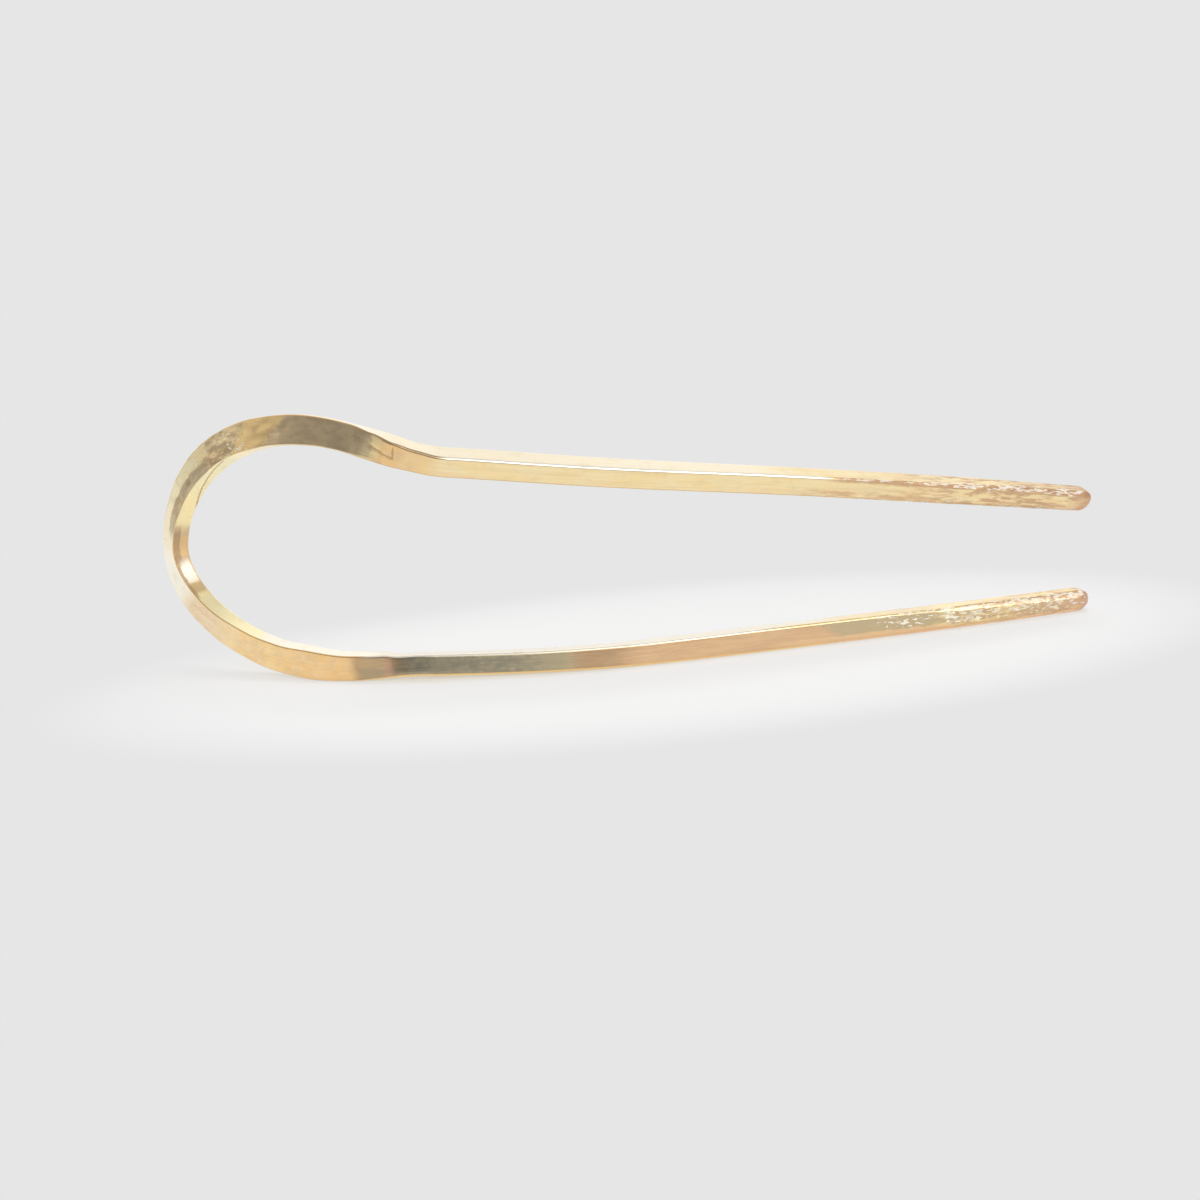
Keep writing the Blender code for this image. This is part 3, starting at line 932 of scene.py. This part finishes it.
# Painted glints: bright flecks, with less metal, that stand in for file and hammer facets catching
# the light.
GLINTS = {
    Face.FRONT: (
        Bloom(18.3, 20.6, 0.4, Tone.PAINTED_GLINT_CREAM, 0.95, Pattern.SPECKLED, (0.2, 1.4)),
        Bloom(11.0, 18.5, 1.2, Tone.STRAW_BRASS, 0.7, Pattern.FLECKED, (-1.7, -0.4)),
        Bloom(20.96, 21.14, 0.1, Tone.STRAW_BRASS, 0.75, Pattern.SPECKLED, slant=-0.09),
        Bloom(-112.8, -109.8, 0.6, Tone.PAINTED_GLINT_CREAM, 1.0, Pattern.FLECKED, (-0.2, 1.1)),
        Bloom(-116.6, -113.8, 0.6, Tone.PAINTED_GLINT_CREAM, 1.0, Pattern.FLECKED, (-0.5, 0.6)),
        Bloom(-127.5, -121.5, 1.0, Tone.PAINTED_GLINT_CREAM, 1.0, Pattern.FLECKED, (-0.6, 2.0)),
        Bloom(-127.0, -121.5, 0.8, Tone.PAINTED_GLINT_CREAM, 0.5, Pattern.PATCHY, (-0.4, 1.6)),
        Bloom(-141.0, -127.0, 4.0, Tone.STRAW_BRASS, 0.6, Pattern.FLECKED, (-0.8, 2.0)),
    ),
    Face.RIDGE: (
        Bloom(-143.0, -104.0, 6.0, Tone.PAINTED_GLINT_CREAM, 0.75, Pattern.FLECKED),
        Bloom(106.0, 136.0, 5.0, Tone.PAINTED_GLINT_CREAM, 0.5, Pattern.FLECKED),
    ),
}


@dataclass(frozen=True)
class Grain:
    """Noise over the wire: scales along and across it per millimetre, octaves and roughness."""

    along: float
    across: float
    octaves: float
    rough: float

    def over(self, nodes: NodeBook, place: bpy.types.NodeSocket) -> Value:
        """Returns the noise, from 0 to 1, at each place on the wire."""
        scale = (self.along, self.across, self.across)
        return nodes.noise(nodes.scaled(place, scale), self.octaves, self.rough)


BRUSHED = Grain(0.09, 3.6, 3.0, 0.6)
STREAKED = Grain(0.35, 2.2, 3.0, 0.6)
MOTTLED = Grain(0.55, 0.55, 4.0, 0.6)
BLOTCHED = Grain(0.16, 0.5, 3.0, 0.55)
CHIPPED = Grain(0.95, 2.6, 1.0, 0.5)
PATTERN_GRAINS = {
    Pattern.PATCHY: (Grain(0.8, 1.2, 4.0, 0.65), (0.44, 0.6)),
    Pattern.STREAKY: (Grain(0.22, 1.6, 4.0, 0.62), (0.42, 0.62)),
    Pattern.CLOUDY: (Grain(0.4, 0.9, 3.0, 0.6), (0.36, 0.66)),
    Pattern.FLECKED: (CHIPPED, (0.56, 0.61)),
    Pattern.SPECKLED: (Grain(2.2, 3.2, 1.0, 0.5), (0.56, 0.61)),
}


@dataclass(frozen=True)
class Ground:
    """What a bloom's place is read from, as values in the shader."""

    run: Value
    uneven: Value
    mottle: Value
    faces: dict[Face, tuple[Value, Value]]
    patterns: dict[Pattern, Value]
    crisp_fade: float = 0.2
    band_wavering: float = 0.8
    band_fade: float = 0.3

    def shown(self, bloom: Bloom, face: Face) -> Value:
        """Returns how strongly a bloom shows, before its own share.

        Args:
            bloom: The bloom.
            face: The face that it lies on.

        Returns:
            The bloom's strength. Its ends waver, unless they fade over less than the crisp fade.
        """
        mask, across = self.faces[face]
        at = self.run if bloom.fade < self.crisp_fade else self.uneven
        at = at + across * -bloom.slant if bloom.slant else at
        shown = at.within(bloom.start, bloom.end, bloom.fade) * mask
        if bloom.across is not None:
            band = across + (self.mottle - 0.5) * self.band_wavering
            shown = shown * band.within(*bloom.across, self.band_fade)
        if bloom.pattern in self.patterns:
            shown = shown * self.patterns[bloom.pattern]
        return shown


@dataclass(frozen=True)
class WornBrass:
    """Drawn brass wire, brushed along its length, with tarnish, tool marks and polished edges, and
    with highlights, glints and dark reflections painted into its colour.

    A span is where a noise, a facing or a distance in millimetres from the bow's end goes from
    not showing to showing in full.
    """

    roughness: float = 0.23
    grain_roughness: float = 0.16
    copper_roughness: float = 0.2
    edge_polish: float = 0.06
    grain_depth: float = 0.0085
    streak_depth: float = 0.0035
    chip_depth: float = 0.06
    scattering: float = 0.9
    flat_facing: Span = (0.55, 0.95)
    edge_facing: Span = (0.1, 0.45)
    edge_front: Span = (0.0, 0.2)
    edge_side: Span = (0.05, 0.4)
    arm_change: Span = (-0.1, 0.1)
    wavering: float = 2.0
    blotches: Span = (0.35, 0.7)
    blotch_share: float = 0.45
    dark_grain: Span = (0.4, 0.75)
    dark_grain_share: float = 0.1
    prong_grain_share: float = 0.2
    upper_prong: Span = (36.0, 48.0)
    lower_prong: Span = (34.0, 46.0)
    dark_mottle: Span = (0.5, 0.75)
    dark_mottle_share: float = 0.25
    upper_tip: Span = (104.0, 130.0)
    lower_tip: Span = (124.0, 136.0)
    lower_tip_share: float = 0.6
    upper_nose: Span = (144.0, 149.0)
    lower_nose: Span = (143.5, 147.5)
    nose_mottle: float = 0.4
    nose_rose: float = 0.5
    copper_mottle: float = 0.3
    copper: Span = (0.6, 0.76)
    copper_share: float = 0.85
    grooves: Span = (0.3, 0.9)
    groove_darkening_share: float = 0.7
    filed_glints: Span = (0.45, 0.8)
    filed_glint_share: float = 0.7

    def material(self) -> bpy.types.Material:
        """Makes the finish, from the bare brass up to the painted glints, bright flecks that stand
        in for facets catching the light.

        Returns:
            The material, which reads the three attributes of an arm's mesh.
        """
        material = bpy.data.materials.new("worn brass")
        material.use_nodes = True
        nodes = NodeBook(material.node_tree)
        place = nodes.attribute(PLACE_ATTRIBUTE)
        run, inward, forward = nodes.parts(place)
        facing_in, facing_front, edge = nodes.parts(nodes.attribute(FACING_ATTRIBUTE))
        _, filed, grooved = nodes.parts(nodes.attribute(MARKS_ATTRIBUTE))
        grain = BRUSHED.over(nodes, place)
        streaks = STREAKED.over(nodes, place)
        mottle = MOTTLED.over(nodes, place)
        chips = CHIPPED.over(nodes, place)
        patterns = {
            pattern: (chips if noise is CHIPPED else noise.over(nodes, place)).smooth(*span)
            for pattern, (noise, span) in PATTERN_GRAINS.items()
        }
        lower_side = facing_in * (run.smooth(*self.arm_change) * 2.0 - 1.0)
        upper_side = 0.0 - lower_side
        edges = edge.smooth(*self.edge_facing) * facing_front.smooth(*self.edge_front)
        faces = {
            Face.FRONT: (facing_front.smooth(*self.flat_facing), inward),
            Face.INNER: (facing_in.smooth(*self.flat_facing), forward),
            Face.OUTER: ((0.0 - facing_in).smooth(*self.flat_facing), forward),
            Face.RIDGE: (edges * upper_side.smooth(*self.edge_side), inward),
            Face.FOOT: (edges * lower_side.smooth(*self.edge_side), inward),
        }
        ground = Ground(run, run + (mottle - 0.5) * self.wavering, mottle, faces, patterns)

        blotches = BLOTCHED.over(nodes, place).smooth(*self.blotches) * self.blotch_share
        colour = nodes.mixed(blotches, Tone.PALE_BRASS.value, Tone.ORANGE_BRASS.value)
        rough = self.roughness + (grain - 0.5) * self.grain_roughness
        film = 0.0
        lower_run = 0.0 - run
        prongs = run.smooth(*self.upper_prong) + lower_run.smooth(*self.lower_prong)
        dark_share = self.dark_grain_share + prongs * self.prong_grain_share
        dark = grain.smooth(*self.dark_grain) * dark_share
        colour = nodes.mixed(dark, colour, Tone.UMBER_TARNISH_AND_DARK_REFLECTION.value)
        for face, blooms in BLOOMS.items():
            for bloom in blooms:
                shown = ground.shown(bloom, face)
                colour = nodes.mixed(shown * bloom.share, colour, bloom.tone.value)
                if bloom.roughened:
                    rough = rough + shown * bloom.roughened
                if bloom.matte:
                    film = film + shown * bloom.matte
        dark = mottle.smooth(*self.dark_mottle) * self.dark_mottle_share
        colour = nodes.mixed(dark, colour, Tone.UMBER_TARNISH_AND_DARK_REFLECTION.value)

        lower_tip = lower_run.smooth(*self.lower_tip) * self.lower_tip_share
        tips = run.smooth(*self.upper_tip) + lower_tip
        coppery = (streaks + mottle * self.copper_mottle).smooth(*self.copper) * tips
        nose = run.smooth(*self.upper_nose) + lower_run.smooth(*self.lower_nose)
        on_nose = nose * (1.0 - self.nose_mottle + mottle * self.nose_mottle)
        coppery = coppery + (1.0 - coppery) * on_nose
        colour = nodes.mixed(coppery * self.copper_share, colour, Tone.SCALED_COPPER.value)
        colour = nodes.mixed(nose * self.nose_rose, colour, Tone.ROSE_TARNISH.value)
        # Darker in the grooves.
        groove_darkening = grooved.smooth(*self.grooves) * self.groove_darkening_share
        colour = nodes.mixed(groove_darkening, colour, Tone.GROOVE_DARK.value)
        # The file cuts are real dents; their near-white colour is a painted glint.
        glints = filed.smooth(*self.filed_glints) * self.filed_glint_share
        colour = nodes.mixed(glints, colour, Tone.PAINTED_HIGHLIGHT_WHITE.value)
        for face, glint_blooms in GLINTS.items():
            for glint in glint_blooms:
                shown = ground.shown(glint, face) * glint.share
                colour = nodes.mixed(shown, colour, glint.tone.value)
                glints = glints + (1.0 - glints) * shown

        polish = edges * (1.0 - coppery) * self.edge_polish
        rough = rough + coppery * self.copper_roughness - polish
        height = grain * self.grain_depth + streaks * self.streak_depth
        height = height + chips * tips * self.chip_depth
        bump = nodes.add(
            "ShaderNodeBump", None, {"Strength": 1.0, "Distance": MM, "Height": height}
        )
        surface = nodes.add(
            "ShaderNodeBsdfPrincipled",
            None,
            {
                "Base Color": colour,
                "Metallic": 1.0 - glints * self.scattering - film * (1.0 - glints),
                "Roughness": rough,
                "Normal": bump.outputs[0],
            },
        )
        nodes.add("ShaderNodeOutputMaterial", None, {"Surface": surface.outputs[0]})
        return material


@dataclass(frozen=True)
class Camera:
    """The photograph's point of view: a place, a heading and a focal length in picture pixels."""

    place: tuple[float, float, float] = (-129.935 * MM, -277.623 * MM, 84.967 * MM)
    azimuth: float = math.radians(23.547)
    elevation: float = math.radians(14.520)
    roll: float = math.radians(0.198)
    focal_pixels: float = 2214.4
    nearest: float = 20.0 * MM
    farthest: float = 12.0

    def build(self) -> bpy.types.Object:
        """Makes the camera and gives it to the scene.

        Returns:
            The camera.
        """
        flat = math.cos(self.elevation)
        across = math.sin(self.azimuth) * flat
        away = math.cos(self.azimuth) * flat
        forward = Vector((across, away, -math.sin(self.elevation)))
        right = forward.cross(WORLD_UP).normalized()
        up = right.cross(forward)
        turned_right = right * math.cos(self.roll) + up * math.sin(self.roll)
        turned_up = up * math.cos(self.roll) - right * math.sin(self.roll)
        turn = Matrix((turned_right, turned_up, -forward)).transposed()

        camera = bpy.data.objects.new("camera", bpy.data.cameras.new("camera"))
        camera.data.sensor_width = SENSOR_WIDTH
        camera.data.lens = self.focal_pixels * SENSOR_WIDTH / PICTURE_PIXELS
        camera.data.clip_start = self.nearest
        camera.data.clip_end = self.farthest
        camera.matrix_world = Matrix.Translation(self.place) @ turn.to_4x4()
        bpy.context.scene.collection.objects.link(camera)
        bpy.context.scene.camera = camera
        return camera


@dataclass(frozen=True)
class Softbox:
    """A lamp that faces the fork, placed by a heading from +Y towards +X and a height angle."""

    name: str
    heading: float
    elevation: float
    distance: float
    width: float
    height: float
    brightness: float
    reflected: bool = True

    def build(self) -> bpy.types.Object:
        """Makes the lamp, with its power worked out from its brightness and size.

        Returns:
            The lamp.
        """
        light = bpy.data.lights.new(self.name, "AREA")
        light.shape = "RECTANGLE"
        light.size = self.width
        light.size_y = self.height
        light.energy = self.brightness * math.pi * self.width * self.height
        lamp = bpy.data.objects.new(self.name, light)
        heading = math.radians(self.heading)
        elevation = math.radians(self.elevation)
        flat = math.cos(elevation)
        outwards = Vector((math.sin(heading) * flat, math.cos(heading) * flat, math.sin(elevation)))
        lamp.location = outwards * self.distance
        lamp.rotation_mode = "QUATERNION"
        lamp.rotation_quaternion = (-outwards).to_track_quat("-Z", "Y")
        lamp.visible_glossy = self.reflected
        bpy.context.scene.collection.objects.link(lamp)
        return lamp


SOFTBOXES = (
    Softbox("overhead softbox", 30.0, 80.0, 1.0, 0.46, 0.46, 4.7, reflected=False),
    Softbox("fill softbox", 203.0, 28.0, 1.0, 0.8, 0.8, 1.1, reflected=False),
    Softbox("side softbox", -95.0, 15.0, 0.9, 0.55, 0.26, 0.24),
    Softbox("front softbox", 163.0, 22.0, 0.9, 0.88, 0.56, 2.0),
)


@dataclass(frozen=True)
class Table:
    """A plain pale table that fades into the plain pale room. A pool of light is painted on it round
    the fork, and in the brass's reflections it is painted brighter, and dimmer towards the front.
    """

    size: float = 8.0
    room_grey: float = 0.791
    painted_pool_grey: float = 0.93
    pool_middle: tuple[float, float] = (2.0 * MM, -8.0 * MM)
    pool_half_length: float = 96.0 * MM
    pool_half_depth: float = 40.0 * MM
    shaded_share: float = 0.6
    pool_edge: Span = (0.15, 1.0)
    lit_grey: float = 0.9
    clearance: float = 0.02 * MM
    reflected_gain: float = 1.22
    dim_from: float = -125.0 * MM
    dim_to: float = -45.0 * MM
    dimming: float = 0.6

    def build(self) -> bpy.types.Object:
        """Makes the table.

        Returns:
            The table.
        """
        half = self.size / 2.0
        corners = [(-half, -half, 0.0), (half, -half, 0.0), (half, half, 0.0), (-half, half, 0.0)]
        mesh = bpy.data.meshes.new("table")
        mesh.from_pydata(corners, [], [(0, 1, 2, 3)])
        mesh.materials.append(self._material())
        table = bpy.data.objects.new("table", mesh)
        table.location.z = -self.clearance
        bpy.context.scene.collection.objects.link(table)
        return table

    def _material(self) -> bpy.types.Material:
        """Makes a pale surface with a painted pool of light, which keeps the hairpin's shadow close
        to it.

        Returns:
            The material.
        """
        material = bpy.data.materials.new("pale table")
        material.use_nodes = True
        nodes = NodeBook(material.node_tree)
        x, y, _ = nodes.parts(nodes.add("ShaderNodeTexCoord").outputs["Object"])
        along = (x - self.pool_middle[0]) / self.pool_half_length
        across = (y - self.pool_middle[1]) / self.pool_half_depth
        # A painted pool of light round the fork.
        painted_light_pool = 1.0 - (along * along + across * across).smooth(*self.pool_edge)
        path = nodes.add("ShaderNodeLightPath").outputs
        reflected = Value(nodes, path["Is Glossy Ray"])
        # In reflections the table is painted dimmer towards the front, and brighter by the reflected
        # gain.
        far = 1.0 - y.smooth(self.dim_from, self.dim_to)
        colour = nodes.mixed(painted_light_pool, grey(self.room_grey), grey(self.painted_pool_grey))
        colour = nodes.mixed(far * self.dimming * reflected, colour, grey(0.0))
        seen = Value(nodes, path["Is Camera Ray"]) + reflected * self.reflected_gain
        plain = nodes.add("ShaderNodeEmission", None, {"Color": colour, "Strength": seen})
        lit = nodes.add("ShaderNodeBsdfDiffuse", None, {"Color": grey(self.lit_grey)})
        surface = nodes.add(
            "ShaderNodeMixShader",
            None,
            {0: painted_light_pool * self.shaded_share, 1: plain.outputs[0], 2: lit.outputs[0]},
        )
        nodes.add("ShaderNodeOutputMaterial", None, {"Surface": surface.outputs[0]})
        return material


@dataclass(frozen=True)
class Studio:
    """The lamps and the room that the brass reflects: palest behind and above, dim in front."""

    room_grey: float = 0.791
    fill: float = 0.5
    pale_heading: float = 30.0
    pale_elevation: float = 20.0
    pale_room: Colour = (1.12, 1.12, 1.12, 1.0)
    middle_room: Colour = (0.73, 0.72, 0.71, 1.0)
    dim_room: Colour = (0.335, 0.335, 0.34, 1.0)
    middle_span: Span = (-0.92, -0.05)
    pale_span: Span = (0.35, 1.05)

    def build(self) -> None:
        """Makes the world and the lamps."""
        world = bpy.data.worlds.new("studio")
        world.use_nodes = True
        bpy.context.scene.world = world
        nodes = NodeBook(world.node_tree)
        x, y, z = nodes.parts(nodes.add("ShaderNodeTexCoord").outputs["Generated"])
        heading = math.radians(self.pale_heading)
        elevation = math.radians(self.pale_elevation)
        flat = x * math.sin(heading) + y * math.cos(heading)
        towards_pale = flat * math.cos(elevation) + z * math.sin(elevation)
        middle = towards_pale.smooth(*self.middle_span)
        seen_in_brass = nodes.mixed(middle, self.dim_room, self.middle_room)
        pale = towards_pale.smooth(*self.pale_span)
        seen_in_brass = nodes.mixed(pale, seen_in_brass, self.pale_room)

        path = nodes.add("ShaderNodeLightPath").outputs
        plain = Value(nodes, path["Is Camera Ray"]) * (self.room_grey - self.fill) + self.fill
        backgrounds = [
            nodes.add("ShaderNodeBackground", None, sockets).outputs[0]
            for sockets in (
                {"Color": grey(1.0), "Strength": plain},
                {"Color": seen_in_brass, "Strength": 1.0},
            )
        ]
        sockets = {0: path["Is Glossy Ray"], 1: backgrounds[0], 2: backgrounds[1]}
        mixed = nodes.add("ShaderNodeMixShader", None, sockets)
        nodes.add("ShaderNodeOutputWorld", None, {"Surface": mixed.outputs[0]})

        for softbox in SOFTBOXES:
            softbox.build()


UPPER_SECTIONS = (
    Section(0.00, 1.12, 0.750, -26.5, corner=0.5),
    Section(0.30, 1.27, 0.840, -18.5, corner=0.5),
    Section(0.55, 1.29, 0.890, -12.0, corner=0.5),
    Section(0.72, 1.24, 0.885, -11.0, corner=0.5),
    Section(0.78, 1.19, 0.900, 0.0, corner=0.7),
    Section(0.84, 1.13, 0.930, 10.5, corner=0.9),
    Section(0.90, 1.03, 0.960, 11.0),
    Section(0.97, 1.00, 1.000, 16.0),
    Section(1.06, 1.00, 1.000, 16.0),
    Section(1.50, 1.00, 1.000, 11.5),
    Section(1.85, 1.08, 1.000, 12.0),
    Section(2.00, 1.07, 1.000, 12.0),
)
LOWER_SECTIONS = (
    Section(0.00, 1.12, 0.750, -26.5, corner=0.5),
    Section(0.25, 1.22, 0.750, -18.0, 0.03, 0.5),
    Section(0.40, 1.19, 0.770, -8.0, 0.02, 0.5),
    Section(0.50, 1.20, 0.860, -1.0, 0.01, 0.5),
    Section(0.62, 1.27, 0.890, 1.0, 0.08, 0.5),
    Section(0.75, 1.12, 0.895, 2.0, 0.11, 0.6),
    Section(0.84, 1.06, 0.925, 8.0, 0.07, 0.8),
    Section(0.90, 0.95, 0.955, 12.5),
    Section(1.06, 0.98, 0.955, 12.5),
    Section(1.50, 1.10, 0.930, 9.5),
    Section(2.00, 1.10, 0.970, 3.0),
)


BOW_FLATS = (
    Flat(*mm(2.0, 19.0, 4.0), -13.0, 0.18 * MM),
    Flat(*mm(2.0, 16.0, 4.0), 12.0, 0.20 * MM),
)
FOOT_FLATS = (Flat(*mm(33.5, 150.0, 6.0), -48.0, 0.17 * MM),)
TIP_FLATS = (
    Flat(*mm(112.0, 160.0, 10.0), -38.0, 0.08 * MM),
    Flat(*mm(110.0, 160.0, 9.0), 42.0, 0.06 * MM),
    Flat(*mm(118.0, 160.0, 6.0), 22.0, 0.08 * MM),
    Flat(*mm(108.0, 160.0, 9.0), 138.0, 0.15 * MM),
    Flat(*mm(120.0, 160.0, 12.0), -136.0, 0.08 * MM),
)
PLIER_MARKS = (
    Groove((mm(37.9, -0.2), mm(38.8, -0.05), mm(39.9, 0.25), mm(41.1, 0.4)), *mm(0.46, 0.04)),
    Groove((mm(40.8, -1.1), mm(40.9, -0.4), mm(41.1, 0.4)), *mm(0.4, 0.03)),
)
CREASES = (
    Groove((mm(16.5, 2.3), mm(11.7, 3.2), mm(7.5, 3.9), mm(5.0, 4.3)), *mm(0.45, 0.04)),
)


@dataclass(frozen=True)
class HammerBlows:
    """Overlapping hollows that a small hammer left over one stretch of an arm."""

    seed: int
    count: int
    stretch: Span
    around: Span
    length: Span
    depth: Span
    slimness: Span = (0.5, 0.85)
    largest_turn: float = 50.0

    def dents(self) -> tuple[Dent, ...]:
        """Draws the hollows from the blows' own seed.

        Returns:
            The hollows.
        """
        draw = np.random.default_rng(self.seed)
        made = []
        for _ in range(self.count):
            length = draw.uniform(*self.length)
            made.append(
                Dent(
                    run=draw.uniform(*self.stretch),
                    around=draw.uniform(*self.around),
                    length=length,
                    width=length * draw.uniform(*self.slimness),
                    depth=draw.uniform(*self.depth),
                    turn=draw.uniform(-self.largest_turn, self.largest_turn),
                )
            )
        return tuple(made)


@dataclass(frozen=True)
class FileStrokes:
    """Short narrow cuts that a file left along a tip, thickest towards the nose."""

    seed: int
    count: int
    stretch: Span
    corners: tuple[float, ...]
    spread: float
    length: Span = mm(0.7, 2.0)
    width: Span = mm(0.25, 0.45)
    depth: Span = mm(0.015, 0.045)
    usual_turn: float = 5.0
    least_spread: float = 0.5

    def dents(self) -> tuple[Dent, ...]:
        """Draws the cuts from the strokes' own seed.

        Returns:
            The cuts.
        """
        draw = np.random.default_rng(self.seed)
        start, end = self.stretch
        made = []
        for _ in range(self.count):
            along = math.sqrt(draw.uniform(0.0, 1.0))
            corner = self.corners[draw.integers(len(self.corners))]
            made.append(
                Dent(
                    run=start + (end - start) * along,
                    around=corner + draw.normal(0.0, self.spread) * (self.least_spread + along),
                    length=draw.uniform(*self.length),
                    width=draw.uniform(*self.width),
                    depth=draw.uniform(*self.depth),
                    turn=draw.normal(0.0, self.usual_turn),
                    kind=MarkKind.FILE,
                )
            )
        return tuple(made)


UPPER_BLOWS = HammerBlows(11, 46, mm(3.0, 27.0), mm(-2.6, 1.9), mm(1.8, 4.2), mm(0.03, 0.09))
SOFT_BLOWS = HammerBlows(12, 30, mm(0.0, 36.0), mm(-6.0, 6.0), mm(4.0, 8.0), mm(0.02, 0.05))
LOWER_BLOWS = HammerBlows(13, 26, mm(2.0, 33.0), mm(-6.0, 6.0), mm(4.0, 8.0), mm(0.015, 0.04))
UPPER_STROKES = FileStrokes(21, 300, mm(104.0, 147.0), mm(-1.7, -1.5, 1.5, 4.6, -4.6), 0.25 * MM)
LOWER_STROKES = FileStrokes(22, 320, mm(108.0, 147.0), mm(1.6, 1.3, 0.6, 4.6, -4.6), 0.3 * MM)
UPPER_MARKS = (
    PLIER_MARKS + CREASES + UPPER_BLOWS.dents() + SOFT_BLOWS.dents() + UPPER_STROKES.dents()
)
LOWER_MARKS = LOWER_BLOWS.dents() + LOWER_STROKES.dents()


@dataclass
class Hairpin:
    """The whole fork: two arms of one wire that meet in the middle of the bow."""

    fork: ForkSizes = ForkSizes()
    outline: Outline = Outline()
    finish: WornBrass = WornBrass()
    bend_before: float = 4.0 * MM
    bend_after: float = 22.0 * MM
    heading_reach: float = 5.0 * MM

    def arms(self) -> Iterator[Arm]:
        """Yields the two arms, with the sizes that each has of its own.

        Returns:
            The upper arm, then the lower arm.
        """
        yield Arm(
            name="upper_wire",
            body="upper_prong",
            side=Side.UPPER,
            prong_length=100.55 * MM,
            tip_half_spacing=7.1 * MM,
            prong_curl=1.4,
            shoulder_length=17.5 * MM,
            bow_half_width=16.7 * MM,
            sections=UPPER_SECTIONS,
            flats=BOW_FLATS + TIP_FLATS,
            marks=UPPER_MARKS,
            fork=self.fork,
            outline=self.outline,
        )
        yield Arm(
            name="lower_wire",
            body="lower_prong",
            side=Side.LOWER,
            prong_length=103.1 * MM,
            tip_half_spacing=8.5 * MM,
            prong_curl=1.0,
            shoulder_length=14.0 * MM,
            bow_half_width=15.5 * MM,
            sections=LOWER_SECTIONS,
            flats=FOOT_FLATS + TIP_FLATS,
            marks=LOWER_MARKS,
            fork=self.fork,
            outline=self.outline,
        )

    def build(self) -> list[bpy.types.Object]:
        """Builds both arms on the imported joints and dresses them.

        Returns:
            The two wires.
        """
        hinges = {joint["child"]: np.array(joint["pos_m"]) for joint in frame["joints"]}
        brass = self.finish.material()
        arms = list(self.arms())
        offset = np.mean([hinges[arm.body] - arm.shoulder_point() for arm in arms], axis=0)
        wires = []
        for arm in arms:
            miss = np.linalg.norm(arm.shoulder_point() + offset - hinges[arm.body])
            wire = arm.build(offset)
            wire.data.materials.append(brass)
            heading = self._heading(arm)
            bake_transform(wire)
            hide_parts("bow", arm.body)
            count = len(wire.data.vertices)
            log.info("%s: %d points, %.3f mm off its hinge", arm.name, count, miss / MM)
            wires.append(wire)
        return wires

    def _heading(self, arm: Arm) -> Vector:
        """Returns the direction from the bow to the prong at an arm's shoulder.

        Args:
            arm: The arm.

        Returns:
            The direction, with a length of 1.
        """
        shoulder = arm.route()[2]
        places = np.array([shoulder, shoulder + self.heading_reach])
        middle = arm.frames(places)[0] @ self.fork.standing().T
        return Vector(middle[1] - middle[0]).normalized()


def main() -> None:
    """Builds the hairpin, its table and its light, and logs each wire's points and how far it lies
    from its hinge.
    """
    logging.basicConfig(level=logging.INFO, format="%(message)s")
    bpy.context.scene.view_settings.view_transform = "Standard"
    Camera().build()
    Studio().build()
    Table().build()
    for wire in Hairpin().build():
        log.info("dressed %s", wire.name)


if __name__ == "__main__":
    main()
